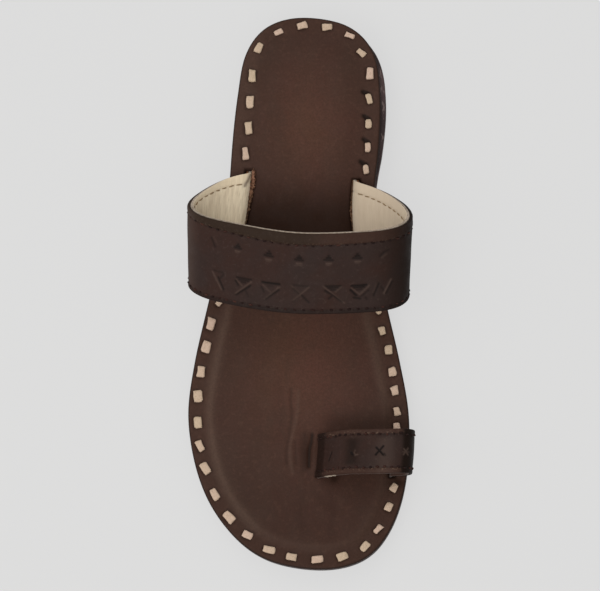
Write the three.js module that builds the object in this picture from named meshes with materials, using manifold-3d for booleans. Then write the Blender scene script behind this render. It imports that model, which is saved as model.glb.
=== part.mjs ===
// Flat leather sandal for a right foot, in millimetres.
// It has a toe ring, one broad instep strap, and a footbed on a thin outsole with a low stacked heel.
// +Z is up, the toe points along -Y, and +X is the medial side, where the big toe is.
// The origin is the middle of the heel's resting face on the floor.

import * as THREE from 'three';
import Module from 'manifold-3d';
import { mergeVertices } from 'three/addons/utils/BufferGeometryUtils.js';

const wasm = await Module();
wasm.setup();

// Sole
const SOLE_LENGTH = 280;
const BALL_WIDTH = 109.5;
const HEEL_WIDTH = 74;
const WIDENING_START = 78; // from the heel's end to where the sole begins to widen to the ball
const WIDENING_RUN = 126;
const HEEL_LENGTH = 76;
const HEEL_LIFT = 12;
const SHANK_LENGTH = 90; // the fall from the heel's height to the ball
const FOREFOOT_FLAT = 54; // the length of sole that lies on the floor under the ball
const TOE_SPRING = 6;
const OUTSOLE_THICKNESS = 4.4;
const INSOLE_THICKNESS = 3.5;
const PAD_RISE = 1.6;
const PAD_MARGIN = 12;
const PAD_STEPS = [0, 0.45, 0.75, 1.05]; // shares of the margin: the pad rises from the second to the last
const HEEL_FLARE = 2.6; // how far the outsole and heel stand out past the footbed at the inner heel
const FLARE_START = 4; // from the heel's end to where the flare begins, is full, begins to fade and ends
const FLARE_FULL = 38;
const FLARE_FADE = 48;
const FLARE_END = 108;
const HEEL_TAPER = 1.5;
const LAYER_GAP = 0.3;
const SLOT_GAP = 0.4;
const SLOT_RUNOUT = 4; // how many gaps a slot's cut reaches past the end of the strap
const MOUTH_RISE = 3; // how far above the footbed a slot's cut still follows the strap

// Instep strap
const STRAP_WALL = 3;
const STRAP_WIDTH = 40;
const STRAP_LATERAL_START = 80.5; // from the heel's end to the back of the lateral slot
const STRAP_MEDIAL_START = 86;
const STRAP_SLOT_MARGIN = 8; // from the footbed's edge to the slots
const STRAP_CREST_START = 126;
const STRAP_CREST_RUN = 35;
const STRAP_BACK_RISE = 58; // from the footbed up to the crest's back edge
const STRAP_FRONT_RISE = 43.5;
const STRAP_LATERAL_BULGE = 59.2; // from the middle line to the widest point
const STRAP_LATERAL_SPREAD = 0.6; // how much more the outer side bulges at the strap's front edge
const STRAP_MEDIAL_BULGE = 52;
const STRAP_MEDIAL_TAPER = 2.2; // how much less the inner side bulges at the strap's front edge

// Toe ring
const RING_WALL = 2.5;
const RING_WIDTH = 21.6;
const RING_START = 213;
const RING_LEAN = 0.8; // how much nearer the toe the top of the ring is
const RING_MEDIAL_MARGIN = 6; // from the footbed's medial edge to the near slot
const RING_LATERAL_MARGIN = 45.4; // from the same edge to the far slot
const RING_OVERHANG = 2.3; // how far the ring stands out past the medial edge
const RING_RISE = 23;

// Fineness of the meshes
const OUTLINE_STEPS = 72;
const ROW_STEPS = 6;
const STRAP_STEPS = 64;
const STRAP_ROWS = 6;
const RING_STEPS = 44;
const RING_ROWS = 4;
const SLOPE_STEP = 1e-3; // a small share of a strap, for slopes

// The footbed's outline from the heel's end to the toe's tip: the turn in degrees goes around the
// outline, and the reaches to each side of the middle line are shares of the width at that place.
const OUTLINE = [
	{ turn: 0, lateral: 0.049, medial: -0.049 },
	{ turn: 15, lateral: 0.292, medial: 0.258 },
	{ turn: 30, lateral: 0.436, medial: 0.436 },
	{ turn: 45, lateral: 0.493, medial: 0.485 },
	{ turn: 60, lateral: 0.531, medial: 0.472 },
	{ turn: 75, lateral: 0.551, medial: 0.416 },
	{ turn: 90, lateral: 0.549, medial: 0.4 },
	{ turn: 105, lateral: 0.555, medial: 0.421 },
	{ turn: 120, lateral: 0.555, medial: 0.445 },
	{ turn: 135, lateral: 0.491, medial: 0.423 },
	{ turn: 150, lateral: 0.364, medial: 0.353 },
	{ turn: 165, lateral: 0.191, medial: 0.236 },
	{ turn: 180, lateral: -0.047, medial: 0.047 },
];

// A strap's outer face from its slot up to its crest. Out is a share of the way from the slot to the
// widest point, or below zero of the way from the slot in to the crest. Up is a share of the rise.
const STRAP_LATERAL = [
	{ out: 0, up: 0.07 },
	{ out: 0.4, up: 0.12 },
	{ out: 0.81, up: 0.32 },
	{ out: 1.07, up: 0.54 },
	{ out: 0.72, up: 0.72 },
	{ out: 0.1, up: 0.83 },
	{ out: -0.5, up: 0.94 },
];
const STRAP_MEDIAL = [
	{ out: 0, up: 0.07 },
	{ out: 0.38, up: 0.17 },
	{ out: 0.84, up: 0.42 },
	{ out: 1.09, up: 0.72 },
	{ out: 0.76, up: 0.94 },
	{ out: 0.12, up: 0.99 },
	{ out: -0.5, up: 1.01 },
];
const RING_LATERAL = [
	{ out: 0, up: 0.1 },
	{ out: -0.06, up: 0.22 },
	{ out: -0.18, up: 0.38 },
	{ out: -0.38, up: 0.64 },
	{ out: -0.62, up: 0.87 },
	{ out: -0.85, up: 1 },
];
const RING_MEDIAL = [
	{ out: 0, up: 0.17 },
	{ out: 0.7, up: 0.26 },
	{ out: 1.1, up: 0.5 },
	{ out: 1.05, up: 0.95 },
	{ out: 0.1, up: 1.08 },
	{ out: -0.3, up: 1.04 },
];

const HEEL_BACK = HEEL_LENGTH / 2;
const FOREFOOT_START = HEEL_LENGTH + SHANK_LENGTH;
const TOE_START = FOREFOOT_START + FOREFOOT_FLAT;

const leather = (color, roughness) => new THREE.MeshStandardMaterial({ color, roughness, metalness: 0 });
const materials = {
	outsole: leather(0x2a211c, 0.55),
	heel: leather(0x241c18, 0.5),
	insole: leather(0x4a342b, 0.6),
	instep_strap: leather(0x3a2b27, 0.5),
	toe_ring: leather(0x3a2b27, 0.5),
};

const mix = (a, b, t) => a + (b - a) * t;

function smooth(t) {
	const s = Math.min(Math.max(t, 0), 1);
	return s * s * (3 - 2 * s);
}

// A smooth closed curve through values that are evenly spaced, at the place t counted in values.
function through(values, t) {
	const i = Math.floor(t);
	const f = t - i;
	const at = (k) => values[(((i + k) % values.length) + values.length) % values.length];
	const [p0, p1, p2, p3] = [at(-1), at(0), at(1), at(2)];
	const slope = (p2 - p0) * f;
	const bend = (2 * p0 - 5 * p1 + 4 * p2 - p3) * f * f;
	return 0.5 * (2 * p1 + slope + bend + (3 * p1 - p0 - 3 * p2 + p3) * f ** 3);
}

// A soft curve that follows a row of control points from the first to the last.
function follow(points, t) {
	const spans = points.length + 1;
	const place = Math.min(Math.max(t, 0), 1) * spans;
	const i = Math.min(Math.floor(place), spans - 1);
	const f = place - i;
	const weights = [
		(1 - f) ** 3 / 6,
		(3 * f ** 3 - 6 * f * f + 4) / 6,
		(-3 * f ** 3 + 3 * f * f + 3 * f + 1) / 6,
		f ** 3 / 6,
	];
	const sum = new THREE.Vector3();
	weights.forEach((weight, k) => {
		const index = Math.min(Math.max(i + k - 2, 0), points.length - 1);
		sum.addScaledVector(points[index], weight);
	});
	return sum;
}

const widthAt = (along) => mix(HEEL_WIDTH, BALL_WIDTH, smooth((along - WIDENING_START) / WIDENING_RUN));
const reaches = [...OUTLINE.map((row) => -row.lateral), ...OUTLINE.slice(1, -1).reverse().map((row) => row.medial)];

// The outline's point at an angle that runs from the heel along the lateral side and back.
function outlineAt(angle) {
	const along = (SOLE_LENGTH * (1 - Math.cos(angle))) / 2;
	const x = through(reaches, (angle / (2 * Math.PI)) * reaches.length) * widthAt(along);
	return new THREE.Vector2(x, HEEL_BACK - along);
}

// The footbed's edge on one side: side is -1 for lateral and 1 for medial.
function edgeAt(side, along) {
	const angle = Math.acos(1 - (2 * along) / SOLE_LENGTH);
	return outlineAt(side < 0 ? angle : 2 * Math.PI - angle).x;
}

// The height of the sole's underside over the floor.
function liftAt(along) {
	const fall = HEEL_LIFT * (1 - smooth((along - HEEL_LENGTH) / SHANK_LENGTH));
	const rise = Math.max(along - TOE_START, 0) / (SOLE_LENGTH - TOE_START);
	return fall + TOE_SPRING * rise * rise;
}

const outsoleTop = (along) => liftAt(along) + OUTSOLE_THICKNESS;
const insoleTop = (along) => outsoleTop(along) + LAYER_GAP + INSOLE_THICKNESS;

// How far the outsole and the heel stand out past the footbed, at a place along a side.
function flareAt(side, along) {
	const grown = smooth((along - FLARE_START) / (FLARE_FULL - FLARE_START));
	const faded = smooth((along - FLARE_FADE) / (FLARE_END - FLARE_FADE));
	return side > 0 ? HEEL_FLARE * grown * (1 - faded) : 0;
}

// A closed ring of points, moved inwards by a distance that may change along the ring.
function ringOf(inset) {
	const ring = [];
	for (let i = 0; i < OUTLINE_STEPS; i++) {
		const angle = (2 * Math.PI * i) / OUTLINE_STEPS;
		const step = 0.01;
		const tangent = outlineAt(angle + step).sub(outlineAt(angle - step)).normalize();
		const point = outlineAt(angle);
		const side = angle < Math.PI ? -1 : 1;
		const distance = inset(side, HEEL_BACK - point.y);
		ring.push(new THREE.Vector2(point.x - tangent.y * distance, point.y + tangent.x * distance));
	}
	return ring;
}

// A closed body from vertex positions and triangles.
function bodyOf(positions, triangles) {
	const geometry = new THREE.BufferGeometry();
	geometry.setAttribute('position', new THREE.Float32BufferAttribute(positions, 3));
	geometry.setIndex(triangles);
	return mergeVertices(geometry, 1e-4);
}

// A sheet between two faces: each is a list of rings from the edge inwards, and the last ring is
// closed by rows of points from its lateral to its medial side.
function soleLayer(topRings, topHeight, bottomRings, bottomHeight) {
	const positions = [];
	const triangles = [];
	const half = OUTLINE_STEPS / 2;
	const put = (x, y, z) => positions.push(x, y, z) / 3 - 1;

	function face(rings, height, up) {
		const turn = (a, b, c) => triangles.push(...(up ? [a, b, c] : [a, c, b]));
		const indices = rings.map((ring) => ring.map((p) => put(p.x, p.y, height(p))));
		for (let r = 0; r + 1 < rings.length; r++) {
			for (let i = 0; i < OUTLINE_STEPS; i++) {
				const j = (i + 1) % OUTLINE_STEPS;
				turn(indices[r][i], indices[r][j], indices[r + 1][j]);
				turn(indices[r][i], indices[r + 1][j], indices[r + 1][i]);
			}
		}
		const inner = rings.at(-1);
		const innerIndices = indices.at(-1);
		const rowAt = (i) => {
			if (i === 0 || i === half) return Array(ROW_STEPS + 1).fill(innerIndices[i]);
			const row = [innerIndices[i]];
			for (let k = 1; k < ROW_STEPS; k++) {
				const p = inner[i].clone().lerp(inner[OUTLINE_STEPS - i], k / ROW_STEPS);
				row.push(put(p.x, p.y, height(p)));
			}
			return [...row, innerIndices[OUTLINE_STEPS - i]];
		};
		let last = rowAt(0);
		for (let i = 1; i <= half; i++) {
			const row = rowAt(i);
			for (let k = 0; k < ROW_STEPS; k++) {
				if (row[k] !== row[k + 1]) turn(last[k], row[k], row[k + 1]);
				if (last[k] !== last[k + 1]) turn(last[k], row[k + 1], last[k + 1]);
			}
			last = row;
		}
		return indices[0];
	}

	const top = face(topRings, topHeight, true);
	const bottom = face(bottomRings, bottomHeight, false);
	for (let i = 0; i < OUTLINE_STEPS; i++) {
		const j = (i + 1) % OUTLINE_STEPS;
		triangles.push(top[i], bottom[i], bottom[j], top[i], bottom[j], top[j]);
	}
	return bodyOf(positions, triangles);
}

const alongOf = (p) => HEEL_BACK - p.y;

function outsole() {
	const edge = ringOf((side, along) => -flareAt(side, along));
	return soleLayer([edge], (p) => outsoleTop(alongOf(p)), [edge], (p) => liftAt(alongOf(p)));
}

// The pad of the footbed rises in a soft step some way in from the edge.
function insole() {
	const [, foot, , brow] = PAD_STEPS;
	const rings = PAD_STEPS.map((share) => ringOf(() => share * PAD_MARGIN));
	const shares = new Map();
	rings.forEach((ring, r) => ring.forEach((p) => shares.set(p, smooth((PAD_STEPS[r] - foot) / (brow - foot)))));
	const top = (p) => insoleTop(alongOf(p)) + PAD_RISE * (shares.get(p) ?? 1);
	return soleLayer(rings, top, [rings[0]], (p) => outsoleTop(alongOf(p)) + LAYER_GAP);
}

// A closed body of the joining and cutting library, and back.
function solidOf(geometry) {
	const vertProperties = Float32Array.from(geometry.getAttribute('position').array);
	const triVerts = Uint32Array.from(geometry.getIndex().array);
	return new wasm.Manifold(new wasm.Mesh({ numProp: 3, vertProperties, triVerts }));
}

function geometryOf(solid) {
	const mesh = solid.getMesh();
	return bodyOf(Array.from(mesh.vertProperties), Array.from(mesh.triVerts));
}

function merged(geometry) {
	geometry.deleteAttribute('normal');
	geometry.deleteAttribute('uv');
	return mergeVertices(geometry, 1e-4);
}

// The heel block follows the sole's outline, narrows to the floor and ends in a straight breast.
function heel() {
	const topEdge = ringOf((side, along) => -flareAt(side, along));
	const floorEdge = ringOf((side, along) => HEEL_TAPER - flareAt(side, along));
	const block = soleLayer([topEdge], () => HEEL_LIFT - LAYER_GAP, [floorEdge], () => 0);
	const front = merged(new THREE.BoxGeometry(2 * BALL_WIDTH, SOLE_LENGTH, 4 * HEEL_LIFT));
	front.translate(0, HEEL_BACK - HEEL_LENGTH - SOLE_LENGTH / 2, 0);
	return geometryOf(solidOf(block).subtract(solidOf(front)));
}

// The outer face of a strap that rises from two slots in the footbed and arches over the foot, as a
// function of the way around it and of the share of its width from back to front.
function strapFace(strap) {
	const backTop = insoleTop(strap.crestStart) + strap.backRise;
	const frontTop = insoleTop(strap.crestStart + strap.crestRun) + strap.frontRise;
	function controls(share) {
		const crestAlong = strap.crestStart + strap.crestRun * share;
		const crestTop = mix(backTop, frontTop, share);
		const slots = [-1, 1].map((side) => {
			const { start, rows } = side < 0 ? strap.lateral : strap.medial;
			const along = start + strap.width * share;
			return { side, rows, along, x: strap.slotX(side, along) };
		});
		const crestX = (slots[0].x + slots[1].x) / 2;
		const legs = slots.map(({ side, rows, along, x }) => {
			const base = insoleTop(along);
			const foot = outsoleTop(along) + LAYER_GAP;
			const points = [foot, mix(foot, base, 0.5), base].map((z) => new THREE.Vector3(x, HEEL_BACK - along, z));
			for (const { out, up } of rows) {
				const reach = out > 0 ? strap.bulgeX(side, along, share) - x : x - crestX;
				const y = HEEL_BACK - mix(along, crestAlong, up);
				points.push(new THREE.Vector3(x + out * reach, y, mix(base, crestTop, up)));
			}
			return points;
		});
		return [...legs[0], new THREE.Vector3(crestX, HEEL_BACK - crestAlong, crestTop), ...legs[1].reverse()];
	}
	return (t, share) => follow(controls(share), t);
}

// A strap's wall, from one way around to another, and grown on all sides by a gap for a cutting copy.
function strapBody(strap, from = 0, to = 1, grown = 0) {
	const face = strapFace(strap);
	const positions = [];
	const triangles = [];
	const steps = Math.round(strap.steps * (to - from));
	const rim = grown / strap.width;
	const put = (p) => positions.push(p.x, p.y, p.z) / 3 - 1;
	const faces = [[], []];
	for (let i = 0; i <= steps; i++) {
		const t = mix(from, to, i / steps);
		const outer = [];
		const inner = [];
		for (let k = 0; k <= strap.rows; k++) {
			const share = mix(-rim, 1 + rim, k / strap.rows);
			const around = face(t + SLOPE_STEP, share).sub(face(t - SLOPE_STEP, share));
			const across = face(t, share + SLOPE_STEP).sub(face(t, share - SLOPE_STEP));
			const out = across.cross(around).normalize();
			const point = face(t, share);
			if (t <= 0 || t >= 1) point.z -= grown * SLOT_RUNOUT;
			outer.push(put(point.clone().addScaledVector(out, grown)));
			inner.push(put(point.clone().addScaledVector(out, -strap.wall - grown)));
		}
		faces[0].push(outer);
		faces[1].push(inner);
	}
	const quad = (a, b, c, d) => triangles.push(a, b, c, a, c, d);
	const [outer, inner] = faces;
	const last = strap.rows;
	for (let i = 0; i < steps; i++) {
		for (let k = 0; k < last; k++) {
			quad(outer[i][k], outer[i][k + 1], outer[i + 1][k + 1], outer[i + 1][k]);
			quad(inner[i][k], inner[i + 1][k], inner[i + 1][k + 1], inner[i][k + 1]);
		}
		quad(outer[i][0], outer[i + 1][0], inner[i + 1][0], inner[i][0]);
		quad(outer[i][last], inner[i][last], inner[i + 1][last], outer[i + 1][last]);
	}
	for (let k = 0; k < last; k++) {
		quad(outer[0][k], inner[0][k], inner[0][k + 1], outer[0][k + 1]);
		quad(outer[steps][k], outer[steps][k + 1], inner[steps][k + 1], inner[steps][k]);
	}
	return bodyOf(positions, triangles);
}

const instep = {
	width: STRAP_WIDTH,
	wall: STRAP_WALL,
	crestStart: STRAP_CREST_START,
	crestRun: STRAP_CREST_RUN,
	backRise: STRAP_BACK_RISE,
	frontRise: STRAP_FRONT_RISE,
	lateral: { start: STRAP_LATERAL_START, rows: STRAP_LATERAL },
	medial: { start: STRAP_MEDIAL_START, rows: STRAP_MEDIAL },
	slotX: (side, along) => edgeAt(side, along) - side * STRAP_SLOT_MARGIN,
	bulgeX: (side, along, share) =>
		side < 0 ? -STRAP_LATERAL_BULGE - STRAP_LATERAL_SPREAD * share : STRAP_MEDIAL_BULGE - STRAP_MEDIAL_TAPER * share,
	steps: STRAP_STEPS,
	rows: STRAP_ROWS,
};

const ring = {
	width: RING_WIDTH,
	wall: RING_WALL,
	crestStart: RING_START + RING_LEAN,
	crestRun: RING_WIDTH,
	backRise: RING_RISE,
	frontRise: RING_RISE,
	lateral: { start: RING_START, rows: RING_LATERAL },
	medial: { start: RING_START, rows: RING_MEDIAL },
	slotX: (side, along) => edgeAt(1, along) - (side < 0 ? RING_LATERAL_MARGIN : RING_MEDIAL_MARGIN),
	bulgeX: (side, along) => edgeAt(1, along) + RING_OVERHANG,
	steps: RING_STEPS,
	rows: RING_ROWS,
};

// The way around a strap at which its end has come well out of the slot, from either end. It is on
// one of the strap's own rows, so that the slot's cut has the same facets as the strap.
function mouthOf(strap, end) {
	const face = strapFace(strap);
	const below = (t, share) => {
		const p = face(t, share);
		return p.z < insoleTop(alongOf(p)) + PAD_RISE + MOUTH_RISE;
	};
	let row = 1;
	while ([0, 0.5, 1].some((share) => below(Math.abs(end - row / strap.steps), share))) row++;
	return row / strap.steps;
}

// The slots are cut by grown copies of the strap ends that pass through them.
function slottedInsole() {
	let bed = solidOf(insole());
	for (const strap of [instep, ring]) {
		bed = bed.subtract(solidOf(strapBody(strap, 0, mouthOf(strap, 0), SLOT_GAP)));
		bed = bed.subtract(solidOf(strapBody(strap, 1 - mouthOf(strap, 1), 1, SLOT_GAP)));
	}
	return geometryOf(bed);
}

const group = new THREE.Group();

function add(name, geometry) {
	geometry.computeVertexNormals();
	const mesh = new THREE.Mesh(geometry, materials[name]);
	mesh.name = name;
	group.add(mesh);
}

add('outsole', outsole());
add('heel', heel());
add('insole', slottedInsole());
add('instep_strap', strapBody(instep));
add('toe_ring', strapBody(ring));

export default group;
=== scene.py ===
"""The looks of a flat leather sandal for a right foot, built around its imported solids.

Lengths are in millimetres until a mesh is made, and Blender's metres after that. The toe points
along -Y and +X is the medial side. Along is the distance from the heel's end to the toe.
"""

import bpy
import numpy as np
from mathutils import Matrix, Vector


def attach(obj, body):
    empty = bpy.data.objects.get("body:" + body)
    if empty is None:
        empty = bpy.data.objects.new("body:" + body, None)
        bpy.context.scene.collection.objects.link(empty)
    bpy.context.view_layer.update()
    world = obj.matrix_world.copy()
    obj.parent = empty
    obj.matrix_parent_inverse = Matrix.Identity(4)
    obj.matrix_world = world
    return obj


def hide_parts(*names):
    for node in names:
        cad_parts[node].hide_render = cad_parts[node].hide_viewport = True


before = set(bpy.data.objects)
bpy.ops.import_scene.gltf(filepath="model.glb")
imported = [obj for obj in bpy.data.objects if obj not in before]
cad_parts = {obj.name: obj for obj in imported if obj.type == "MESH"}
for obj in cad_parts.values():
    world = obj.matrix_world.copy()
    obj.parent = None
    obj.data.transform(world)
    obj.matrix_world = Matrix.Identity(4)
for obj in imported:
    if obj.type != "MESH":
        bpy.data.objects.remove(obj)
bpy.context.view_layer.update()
MM = 0.001
rng = np.random.default_rng(7)

# Sole, as in the solids
SOLE_LENGTH = 280.0
BALL_WIDTH = 109.5
HEEL_WIDTH = 74.0
WIDENING_START = 78.0  # from the heel's end to where the sole begins to widen to the ball
WIDENING_RUN = 126.0
HEEL_LENGTH = 76.0
HEEL_LIFT = 12.0
SHANK_LENGTH = 90.0
FOREFOOT_FLAT = 54.0
TOE_SPRING = 6.0
OUTSOLE_THICKNESS = 4.4
INSOLE_THICKNESS = 3.5
PAD_RISE = 1.6
HEEL_PAD_START = 5.4  # how far in from the edge the padding begins to rise at the heel, and is full
HEEL_PAD_FULL = 20.0
FORE_PAD_START = 7.6  # the same under the ball and the toes
FORE_PAD_FULL = 12.4
FORE_START = 118.0  # from the heel's end to where the forefoot's form begins to show, and how softly
FORE_RUN = 45.0
HEEL_FLARE = 2.6
FLARE_START = 4.0  # from the heel's end to where the flare begins, is full, begins to fade and ends
FLARE_FULL = 38.0
FLARE_FADE = 48.0
FLARE_END = 108.0
HEEL_TAPER = 1.5
LAYER_GAP = 0.3
SLOT_GAP = 0.4
LACE_THICKNESS = 0.95
LACE_SUNK = 0.5  # how far the lace is pulled into the footbed
LACE_FULLNESS = 1.13  # how much larger a stitch bulges than it was laid
HEEL_BACK = HEEL_LENGTH / 2
TOE_START = HEEL_LENGTH + SHANK_LENGTH + FOREFOOT_FLAT

# Outline: turn around the footbed, and the reaches as shares of the width at that place
OUTLINE = [
    (0, 0.049, -0.049),
    (15, 0.292, 0.258),
    (30, 0.436, 0.436),
    (45, 0.493, 0.485),
    (60, 0.531, 0.472),
    (75, 0.551, 0.416),
    (90, 0.549, 0.4),
    (105, 0.555, 0.421),
    (120, 0.555, 0.445),
    (135, 0.491, 0.423),
    (150, 0.364, 0.353),
    (165, 0.191, 0.236),
    (180, -0.047, 0.047),
]

# Straps: out and up of each control point of the outer face, from the slot to the crest
INSTEP = {
    "width": 40.0,
    "wall": 3.0,
    "crest_start": 126.0,
    "crest_run": 35.0,
    "back_rise": 58.0,
    "front_rise": 43.5,
    "start": (80.5, 86.0),
    "lateral": [(0, 0.07), (0.4, 0.12), (0.81, 0.32), (1.07, 0.54), (0.72, 0.72), (0.1, 0.83), (-0.5, 0.94)],
    "medial": [(0, 0.07), (0.38, 0.17), (0.84, 0.42), (1.09, 0.72), (0.76, 0.94), (0.12, 0.99), (-0.5, 1.01)],
    "slot_margin": 8.0,
    "lateral_bulge": 59.2,
    "lateral_spread": 0.6,
    "medial_bulge": 52.0,
    "medial_taper": 2.2,
}
RING = {
    "width": 21.6,
    "wall": 2.5,
    "crest_start": 213.8,
    "crest_run": 21.6,
    "back_rise": 23.0,
    "front_rise": 23.0,
    "start": (213.0, 213.0),
    "lateral": [(0, 0.1), (-0.06, 0.22), (-0.18, 0.38), (-0.38, 0.64), (-0.62, 0.87), (-0.85, 1)],
    "medial": [(0, 0.17), (0.7, 0.26), (1.1, 0.5), (1.05, 0.95), (0.1, 1.08), (-0.3, 1.04)],
    "medial_margin": 6.0,
    "lateral_margin": 45.4,
    "overhang": 2.3,
}

# Lace stitches, from the heel's end around the lateral side: place along the edge, distance in from
# it, length, width, and turn in degrees from the edge's direction
LACE = [
    (0, 4.4, 4.9, 3.9, 14),
    (14.6, 5.4, 4.4, 2.6, 2),
    (30.9, 4.6, 5.2, 3.2, 3),
    (48, 6, 6.1, 3.8, 5),
    (62, 6.8, 6.1, 3.5, 5),
    (76, 7.6, 6.1, 3.8, 9),
    (89.6, 7.1, 6.2, 3.3, 8),
    (105, 6.6, 5.6, 3.6, 4),
    (114, 6.2, 5.5, 3.6, 2),
    (127, 6, 5.5, 3.6, -3),
    (140, 5.6, 5.6, 3.8, 4),
    (151.2, 5.2, 5.2, 3.9, 0),
    (163.6, 5.9, 4.8, 2.7, -34),
    (175.5, 3.8, 5.7, 4.2, -3),
    (187.5, 4.2, 5.6, 4.1, -5),
    (200.5, 4, 5.3, 4.1, 0),
    (213.2, 4.4, 5.7, 4.1, 10),
    (227.3, 4.8, 5.5, 3.7, 1),
    (239.6, 4.4, 5.4, 3.5, 14),
    (251.7, 4.5, 5.8, 3.7, 16),
    (266.4, 4.3, 5.7, 3.2, 4),
    (280.7, 4.4, 6, 4.2, 7),
    (294.6, 5.2, 4.9, 3.6, 18),
    (309, 4.9, 5.7, 3.2, 10),
    (321.8, 4.7, 4.9, 3.6, -2),
    (335.3, 4.9, 5.4, 3.5, 6),
    (349, 5.2, 5.1, 3.5, 8),
    (363.5, 4.9, 5, 3.2, 11),
    (376, 5.4, 4.7, 3, -11),
    (389.3, 5.2, 4.2, 3.4, -8),
    (399.8, 5.2, 4, 3.2, -20),
    (410.5, 5.4, 4.2, 3.4, 4),
    (421, 5.6, 4.2, 3.4, -4),
    (431.2, 6.2, 4.2, 3.4, 6),
    (439.6, 5.7, 4.1, 3.3, 6),
    (450.6, 5.3, 4.4, 3.7, 3),
    (460.3, 4.6, 4.3, 3.5, 0),
    (471.6, 4.2, 4.4, 3.5, -10),
    (481.8, 5.2, 4, 3.4, 5),
    (492.7, 5.3, 4.8, 2.6, 25),
    (505.4, 5, 4.5, 3.4, -4),
    (515.5, 5.1, 4.8, 3.5, 6),
    (527, 5.2, 4.6, 3.3, 0),
    (538.5, 5.2, 4.7, 3.2, -5),
    (549.5, 5.2, 4.6, 3, 8),
    (561, 5.3, 4.5, 2.7, 18),
    (572.7, 5.6, 4.7, 2.7, 7),
    (585.2, 6, 4.5, 2.8, 7),
    (598.7, 5.8, 5.1, 3, 14),
    (612.5, 4.4, 5.9, 3.7, -6),
    (626.3, 5.6, 4.6, 3, 18),
    (639.2, 3.8, 4.7, 2.8, 14),
    (653.3, 3.9, 4.9, 3.5, 14),
]
OPEN_HOLES = (548, 605)  # the stretch of edge where the holes of the lace stand open beside it


def mix(a, b, t):
    return a + (b - a) * t


def smooth(t):
    t = np.clip(t, 0.0, 1.0)
    return t * t * (3 - 2 * t)


def hill(distance, width):
    """One at a distance of nothing, falling softly to nothing past the width."""
    return np.exp(-((distance / width) ** 2) * 2.0)


# The sole's shape

REACHES = np.array([-r[1] for r in OUTLINE] + [r[2] for r in OUTLINE[-2:0:-1]])


def soft_step(p0, p1, p2, p3, f):
    """A point between the middle two of four, on a soft line through them."""
    bend = (2 * p0 - 5 * p1 + 4 * p2 - p3) * f * f
    return 0.5 * (2 * p1 + (p2 - p0) * f + bend + (3 * p1 - p0 - 3 * p2 + p3) * f**3)


def through(values, t):
    """The value at a place in a closed row of values."""
    i = np.floor(t).astype(int)
    return soft_step(*(values[(i + k) % len(values)] for k in (-1, 0, 1, 2)), t - i)


def width_at(along):
    return mix(HEEL_WIDTH, BALL_WIDTH, smooth((along - WIDENING_START) / WIDENING_RUN))


def outline_at(angle):
    """Points of the footbed's edge, from the heel's end along the lateral side and back."""
    angle = np.asarray(angle, float)
    along = SOLE_LENGTH * (1 - np.cos(angle)) / 2
    x = through(REACHES, (angle % (2 * np.pi)) / (2 * np.pi) * len(REACHES)) * width_at(along)
    return np.stack([x, HEEL_BACK - along], -1)


def edge_x(side, along):
    """The x of the footbed's edge on the lateral side, -1, or the medial side, 1."""
    angle = np.arccos(1 - 2 * np.clip(along, 0, SOLE_LENGTH) / SOLE_LENGTH)
    return outline_at(angle if side < 0 else 2 * np.pi - angle)[..., 0]


def lift_at(along):
    fall = HEEL_LIFT * (1 - smooth((along - HEEL_LENGTH) / SHANK_LENGTH))
    rise = np.clip(along - TOE_START, 0, None) / (SOLE_LENGTH - TOE_START)
    return fall + TOE_SPRING * rise * rise


def outsole_top(along):
    return lift_at(along) + OUTSOLE_THICKNESS


def insole_top(along):
    return outsole_top(along) + LAYER_GAP + INSOLE_THICKNESS


def flare_at(angle, along):
    grown = smooth((along - FLARE_START) / (FLARE_FULL - FLARE_START))
    faded = smooth((along - FLARE_FADE) / (FLARE_END - FLARE_FADE))
    return np.where(angle > np.pi, HEEL_FLARE * grown * (1 - faded), 0.0)


def edge_frame(angle):
    """Points of the edge, the directions around it and the directions in from it."""
    step = 1e-3
    ahead = outline_at(angle + step) - outline_at(angle - step)
    ahead /= np.linalg.norm(ahead, axis=-1, keepdims=True)
    return outline_at(angle), ahead, np.stack([-ahead[..., 1], ahead[..., 0]], -1)


EDGE_ANGLES = np.linspace(0, 2 * np.pi, 4001)
EDGE_STEPS = np.linalg.norm(np.diff(outline_at(EDGE_ANGLES), axis=0), axis=1)
EDGE_PLACES = np.concatenate([[0], np.cumsum(EDGE_STEPS)])
EDGE_LENGTH = EDGE_PLACES[-1]


def angle_of(place):
    """The turn around the outline at a length along it."""
    return np.interp(np.mod(place, EDGE_LENGTH), EDGE_PLACES, EDGE_ANGLES)


def place_of(angle):
    return np.interp(angle, EDGE_ANGLES, EDGE_PLACES)


# Lace stitches

def beside(place, inset, at, depth_in, turned):
    """Places along and across a lace stitch, from its middle."""
    du = (place - at + EDGE_LENGTH / 2) % EDGE_LENGTH - EDGE_LENGTH / 2
    dv = inset - depth_in
    turn = np.radians(turned)
    return du * np.cos(turn) + dv * np.sin(turn), dv * np.cos(turn) - du * np.sin(turn)


def lace_dents(place, inset):
    """How deep the lace pulls into the footbed at places along and in from the edge, and how much shade is
    painted around each stitch and in its open holes.
    """
    dent = np.zeros_like(place)
    dark = np.zeros_like(place)
    for at, depth_in, length, width, turned in LACE:
        u, v = beside(place, inset, at, depth_in, turned)
        near = (np.abs(u) < 8) & (np.abs(v) < 7)
        u, v = u[near], v[near]
        ends = sum(hill(np.hypot(u - side * (length / 2 + 0.1), v * 1.1), 1.0) for side in (-1, 1))
        bed = np.exp(-((u / (length * 0.66)) ** 6)) * np.exp(-((v / (width * 0.73)) ** 6))
        dent[near] += 0.5 * ends + 0.45 * bed
        dark[near] += 0.5 * ends + 0.6 * bed
        if OPEN_HOLES[0] < at < OPEN_HOLES[1]:
            slit = hill(line_way(u, v, length / 2 + 0.4, -0.2, length / 2 + 2.0, 1.8), 1.3)
            dent[near] += 0.9 * slit
            # Painted shade in the open holes
            dark[near] += 2.2 * slit
    return dent, np.clip(dark, 0, 1)


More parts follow.
